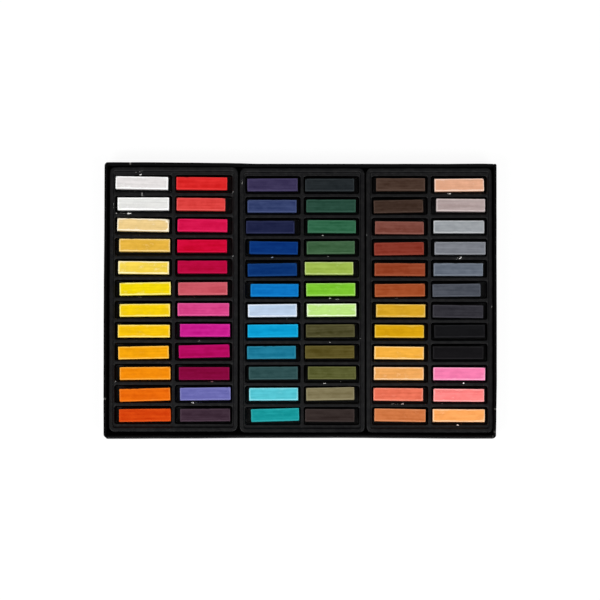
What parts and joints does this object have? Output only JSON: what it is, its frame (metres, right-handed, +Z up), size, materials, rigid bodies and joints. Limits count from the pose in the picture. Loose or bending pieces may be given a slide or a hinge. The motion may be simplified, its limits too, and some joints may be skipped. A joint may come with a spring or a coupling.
{
  "type": "pastel drawer tray box",
  "caption": "Shallow black card drawer with three formed plastic trays whose wells hold square soft pastel sticks in many colours; trays and sticks lift out.",
  "frame": {"origin": "middle of the drawer's underside, on the table", "axes": "+X along the drawer's length to the right, +Y from the front wall to the back wall, +Z up"},
  "size_m": [0.2572, 0.1808, 0.017],
  "materials": {
    "black_card": "matte",
    "formed_plastic": "satin",
    "pastel_white": "matte",
    "pastel_sand": "matte",
    "pastel_lemon": "matte",
    "pastel_sunflower": "matte",
    "pastel_marigold": "matte",
    "pastel_orange": "matte",
    "pastel_scarlet": "matte",
    "pastel_crimson": "matte",
    "pastel_carmine": "matte",
    "pastel_fuchsia": "matte",
    "pastel_burgundy": "matte",
    "pastel_lavender": "matte",
    "pastel_violet": "matte",
    "pastel_navy": "matte",
    "pastel_cobalt": "matte",
    "pastel_sky": "matte",
    "pastel_teal": "matte",
    "pastel_turquoise": "matte",
    "pastel_pine": "matte",
    "pastel_emerald": "matte",
    "pastel_apple": "matte",
    "pastel_lime": "matte",
    "pastel_olive": "matte",
    "pastel_khaki": "matte",
    "pastel_umber": "matte",
    "pastel_brick": "matte",
    "pastel_rust": "matte",
    "pastel_ochre": "matte",
    "pastel_apricot": "matte",
    "pastel_coral": "matte",
    "pastel_peach": "matte",
    "pastel_silver": "matte",
    "pastel_slate": "matte",
    "pastel_charcoal": "matte",
    "pastel_black_pink": "matte",
    "pastel_salmon": "matte"
  },
  "bodies": {
    "drawer": {"drawer": "black_card"},
    "tray_left": {"tray_left": "formed_plastic"},
    "tray_middle": {"tray_middle": "formed_plastic"},
    "tray_right": {"tray_right": "formed_plastic"},
    "pastels_white": {"pastels_white": "pastel_white"},
    "pastels_sand": {"pastels_sand": "pastel_sand"},
    "pastels_lemon": {"pastels_lemon": "pastel_lemon"},
    "pastels_sunflower": {"pastels_sunflower": "pastel_sunflower"},
    "pastels_marigold": {"pastels_marigold": "pastel_marigold"},
    "pastels_orange": {"pastels_orange": "pastel_orange"},
    "pastels_scarlet": {"pastels_scarlet": "pastel_scarlet"},
    "pastels_crimson": {"pastels_crimson": "pastel_crimson"},
    "pastels_carmine": {"pastels_carmine": "pastel_carmine"},
    "pastels_fuchsia": {"pastels_fuchsia": "pastel_fuchsia"},
    "pastels_burgundy": {"pastels_burgundy": "pastel_burgundy"},
    "pastels_lavender": {"pastels_lavender": "pastel_lavender"},
    "pastels_violet": {"pastels_violet": "pastel_violet"},
    "pastels_navy": {"pastels_navy": "pastel_navy"},
    "pastels_cobalt": {"pastels_cobalt": "pastel_cobalt"},
    "pastels_sky": {"pastels_sky": "pastel_sky"},
    "pastels_teal": {"pastels_teal": "pastel_teal"},
    "pastels_turquoise": {"pastels_turquoise": "pastel_turquoise"},
    "pastels_pine": {"pastels_pine": "pastel_pine"},
    "pastels_emerald": {"pastels_emerald": "pastel_emerald"},
    "pastels_apple": {"pastels_apple": "pastel_apple"},
    "pastels_lime": {"pastels_lime": "pastel_lime"},
    "pastels_olive": {"pastels_olive": "pastel_olive"},
    "pastels_khaki": {"pastels_khaki": "pastel_khaki"},
    "pastels_umber": {"pastels_umber": "pastel_umber"},
    "pastels_brick": {"pastels_brick": "pastel_brick"},
    "pastels_rust": {"pastels_rust": "pastel_rust"},
    "pastels_ochre": {"pastels_ochre": "pastel_ochre"},
    "pastels_apricot": {"pastels_apricot": "pastel_apricot"},
    "pastels_coral": {"pastels_coral": "pastel_coral"},
    "pastels_peach": {"pastels_peach": "pastel_peach"},
    "pastels_silver": {"pastels_silver": "pastel_silver"},
    "pastels_slate": {"pastels_slate": "pastel_slate"},
    "pastels_charcoal": {"pastels_charcoal": "pastel_charcoal"},
    "pastels_black_pink": {"pastels_black_pink": "pastel_black_pink"},
    "pastels_salmon": {"pastels_salmon": "pastel_salmon"}
  },
  "joints": [
    {"name": "lift_tray_left", "type": "slide", "parent": "drawer", "child": "tray_left", "axis": [0, 0, 1], "range_m": [0, 0.02]},
    {"name": "lift_tray_middle", "type": "slide", "parent": "drawer", "child": "tray_middle", "axis": [0, 0, 1], "range_m": [0, 0.02]},
    {"name": "lift_tray_right", "type": "slide", "parent": "drawer", "child": "tray_right", "axis": [0, 0, 1], "range_m": [0, 0.02]},
    {"name": "lift_pastels_white", "type": "slide", "parent": "tray_left", "child": "pastels_white", "axis": [0, 0, 1], "range_m": [0, 0.014]},
    {"name": "lift_pastels_sand", "type": "slide", "parent": "tray_left", "child": "pastels_sand", "axis": [0, 0, 1], "range_m": [0, 0.014]},
    {"name": "lift_pastels_lemon", "type": "slide", "parent": "tray_left", "child": "pastels_lemon", "axis": [0, 0, 1], "range_m": [0, 0.014]},
    {"name": "lift_pastels_sunflower", "type": "slide", "parent": "tray_left", "child": "pastels_sunflower", "axis": [0, 0, 1], "range_m": [0, 0.014]},
    {"name": "lift_pastels_marigold", "type": "slide", "parent": "tray_left", "child": "pastels_marigold", "axis": [0, 0, 1], "range_m": [0, 0.014]},
    {"name": "lift_pastels_orange", "type": "slide", "parent": "tray_left", "child": "pastels_orange", "axis": [0, 0, 1], "range_m": [0, 0.014]},
    {"name": "lift_pastels_scarlet", "type": "slide", "parent": "tray_left", "child": "pastels_scarlet", "axis": [0, 0, 1], "range_m": [0, 0.014]},
    {"name": "lift_pastels_crimson", "type": "slide", "parent": "tray_left", "child": "pastels_crimson", "axis": [0, 0, 1], "range_m": [0, 0.014]},
    {"name": "lift_pastels_carmine", "type": "slide", "parent": "tray_left", "child": "pastels_carmine", "axis": [0, 0, 1], "range_m": [0, 0.014]},
    {"name": "lift_pastels_fuchsia", "type": "slide", "parent": "tray_left", "child": "pastels_fuchsia", "axis": [0, 0, 1], "range_m": [0, 0.014]},
    {"name": "lift_pastels_burgundy", "type": "slide", "parent": "tray_left", "child": "pastels_burgundy", "axis": [0, 0, 1], "range_m": [0, 0.014]},
    {"name": "lift_pastels_lavender", "type": "slide", "parent": "tray_left", "child": "pastels_lavender", "axis": [0, 0, 1], "range_m": [0, 0.014]},
    {"name": "lift_pastels_violet", "type": "slide", "parent": "tray_middle", "child": "pastels_violet", "axis": [0, 0, 1], "range_m": [0, 0.014]},
    {"name": "lift_pastels_navy", "type": "slide", "parent": "tray_middle", "child": "pastels_navy", "axis": [0, 0, 1], "range_m": [0, 0.014]},
    {"name": "lift_pastels_cobalt", "type": "slide", "parent": "tray_middle", "child": "pastels_cobalt", "axis": [0, 0, 1], "range_m": [0, 0.014]},
    {"name": "lift_pastels_sky", "type": "slide", "parent": "tray_middle", "child": "pastels_sky", "axis": [0, 0, 1], "range_m": [0, 0.014]},
    {"name": "lift_pastels_teal", "type": "slide", "parent": "tray_middle", "child": "pastels_teal", "axis": [0, 0, 1], "range_m": [0, 0.014]},
    {"name": "lift_pastels_turquoise", "type": "slide", "parent": "tray_middle", "child": "pastels_turquoise", "axis": [0, 0, 1], "range_m": [0, 0.014]},
    {"name": "lift_pastels_pine", "type": "slide", "parent": "tray_middle", "child": "pastels_pine", "axis": [0, 0, 1], "range_m": [0, 0.014]},
    {"name": "lift_pastels_emerald", "type": "slide", "parent": "tray_middle", "child": "pastels_emerald", "axis": [0, 0, 1], "range_m": [0, 0.014]},
    {"name": "lift_pastels_apple", "type": "slide", "parent": "tray_middle", "child": "pastels_apple", "axis": [0, 0, 1], "range_m": [0, 0.014]},
    {"name": "lift_pastels_lime", "type": "slide", "parent": "tray_middle", "child": "pastels_lime", "axis": [0, 0, 1], "range_m": [0, 0.014]},
    {"name": "lift_pastels_olive", "type": "slide", "parent": "tray_middle", "child": "pastels_olive", "axis": [0, 0, 1], "range_m": [0, 0.014]},
    {"name": "lift_pastels_khaki", "type": "slide", "parent": "tray_middle", "child": "pastels_khaki", "axis": [0, 0, 1], "range_m": [0, 0.014]},
    {"name": "lift_pastels_umber", "type": "slide", "parent": "tray_right", "child": "pastels_umber", "axis": [0, 0, 1], "range_m": [0, 0.014]},
    {"name": "lift_pastels_brick", "type": "slide", "parent": "tray_right", "child": "pastels_brick", "axis": [0, 0, 1], "range_m": [0, 0.014]},
    {"name": "lift_pastels_rust", "type": "slide", "parent": "tray_right", "child": "pastels_rust", "axis": [0, 0, 1], "range_m": [0, 0.014]},
    {"name": "lift_pastels_ochre", "type": "slide", "parent": "tray_right", "child": "pastels_ochre", "axis": [0, 0, 1], "range_m": [0, 0.014]},
    {"name": "lift_pastels_apricot", "type": "slide", "parent": "tray_right", "child": "pastels_apricot", "axis": [0, 0, 1], "range_m": [0, 0.014]},
    {"name": "lift_pastels_coral", "type": "slide", "parent": "tray_right", "child": "pastels_coral", "axis": [0, 0, 1], "range_m": [0, 0.014]},
    {"name": "lift_pastels_peach", "type": "slide", "parent": "tray_right", "child": "pastels_peach", "axis": [0, 0, 1], "range_m": [0, 0.014]},
    {"name": "lift_pastels_silver", "type": "slide", "parent": "tray_right", "child": "pastels_silver", "axis": [0, 0, 1], "range_m": [0, 0.014]},
    {"name": "lift_pastels_slate", "type": "slide", "parent": "tray_right", "child": "pastels_slate", "axis": [0, 0, 1], "range_m": [0, 0.014]},
    {"name": "lift_pastels_charcoal", "type": "slide", "parent": "tray_right", "child": "pastels_charcoal", "axis": [0, 0, 1], "range_m": [0, 0.014]},
    {"name": "lift_pastels_black_pink", "type": "slide", "parent": "tray_right", "child": "pastels_black_pink", "axis": [0, 0, 1], "range_m": [0, 0.014]},
    {"name": "lift_pastels_salmon", "type": "slide", "parent": "tray_right", "child": "pastels_salmon", "axis": [0, 0, 1], "range_m": [0, 0.014]}
  ]
}
